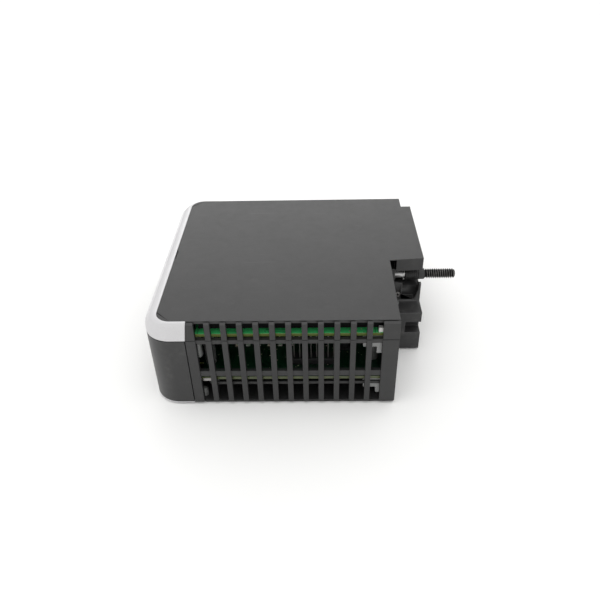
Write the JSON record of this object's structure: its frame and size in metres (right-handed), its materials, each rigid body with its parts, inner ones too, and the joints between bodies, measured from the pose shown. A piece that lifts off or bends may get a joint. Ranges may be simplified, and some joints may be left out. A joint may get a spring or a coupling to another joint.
{
  "type": "controller module",
  "caption": "Vented dark case on its side with a silver-edged curved front, rear plug block and long captive mounting screw.",
  "frame": {"origin": "centre of the footprint, on the resting side plate", "axes": "+X out of the back along the mounting screw (plug-in direction), -X out of the curved front, +Y along the module's height, +Z across its width"},
  "size_m": [0.1418, 0.1096, 0.047],
  "materials": {
    "case_plastic": "moulded, fine spark texture",
    "fascia_plastic": "satin moulded",
    "silver_paint": "silver-grey painted plastic, satin",
    "smoked_lens": "tinted translucent",
    "clear_plastic": "clear light guide",
    "connector_plastic": "glass-filled light grey",
    "contact_gold": "plated",
    "bright_metal": "tin or zinc plated",
    "black_oxide": "black oxide steel",
    "black_nylon": "black nylon",
    "board_laminate": "solder-masked laminate",
    "chip_resin": "moulded epoxy",
    "sink_aluminium": "anodised",
    "capacitor_sleeve": "shrink sleeve",
    "ceramic_chip": "ceramic with tinned ends",
    "led_resin": "diffused resin",
    "white_nylon": "white nylon"
  },
  "bodies": {
    "case": {"lower_housing": "case_plastic", "upper_side_cover": "case_plastic", "front_fascia": "fascia_plastic", "silver_trim_upper": "silver_paint", "silver_trim_base": "silver_paint", "status_lens": "smoked_lens", "light_pipe": "clear_plastic", "connector_carrier": "fascia_plastic", "bus_connector_body": "connector_plastic", "bus_connector_contacts": "contact_gold", "power_connector_body": "connector_plastic", "power_connector_contacts": "contact_gold", "ground_eyelet": "bright_metal", "ground_tab": "connector_plastic", "screw_guide_tube": "black_nylon", "upper_board": "board_laminate", "lower_board": "board_laminate", "upper_board_bracket": "connector_plastic", "lower_board_bracket": "connector_plastic", "housing_posts": "connector_plastic", "board_spacers": "connector_plastic", "board_screws": "bright_metal", "stacking_header": "chip_resin", "stacking_pins": "contact_gold", "jack_shields": "bright_metal", "jack_inserts": "chip_resin", "jack_contacts": "contact_gold", "processor": "chip_resin", "heat_sink": "sink_aluminium", "memory_chips": "chip_resin", "jack_transformers": "chip_resin", "filter_capacitors": "capacitor_sleeve", "power_inductors": "chip_resin", "clock_crystal": "bright_metal", "small_components": "ceramic_chip", "indicator_leds": "led_resin", "jumper_block": "white_nylon", "power_converter": "chip_resin", "edge_clip": "bright_metal", "backup_capacitor": "capacitor_sleeve", "interface_chips": "chip_resin"},
    "screw_slider": {"screw_collar": "black_nylon"},
    "screw": {"mounting_screw": "black_oxide", "retaining_ring": "bright_metal"}
  },
  "joints": [
    {"name": "screw_float", "type": "slide", "parent": "case", "child": "screw_slider", "axis": [1, 0, 0], "range_m": [-0.0044, 0]},
    {"name": "screw_turn", "type": "hinge", "parent": "screw_slider", "child": "screw", "pos_m": [0.0497, 0, 0.0335], "axis": [1, 0, 0], "continuous": true}
  ]
}
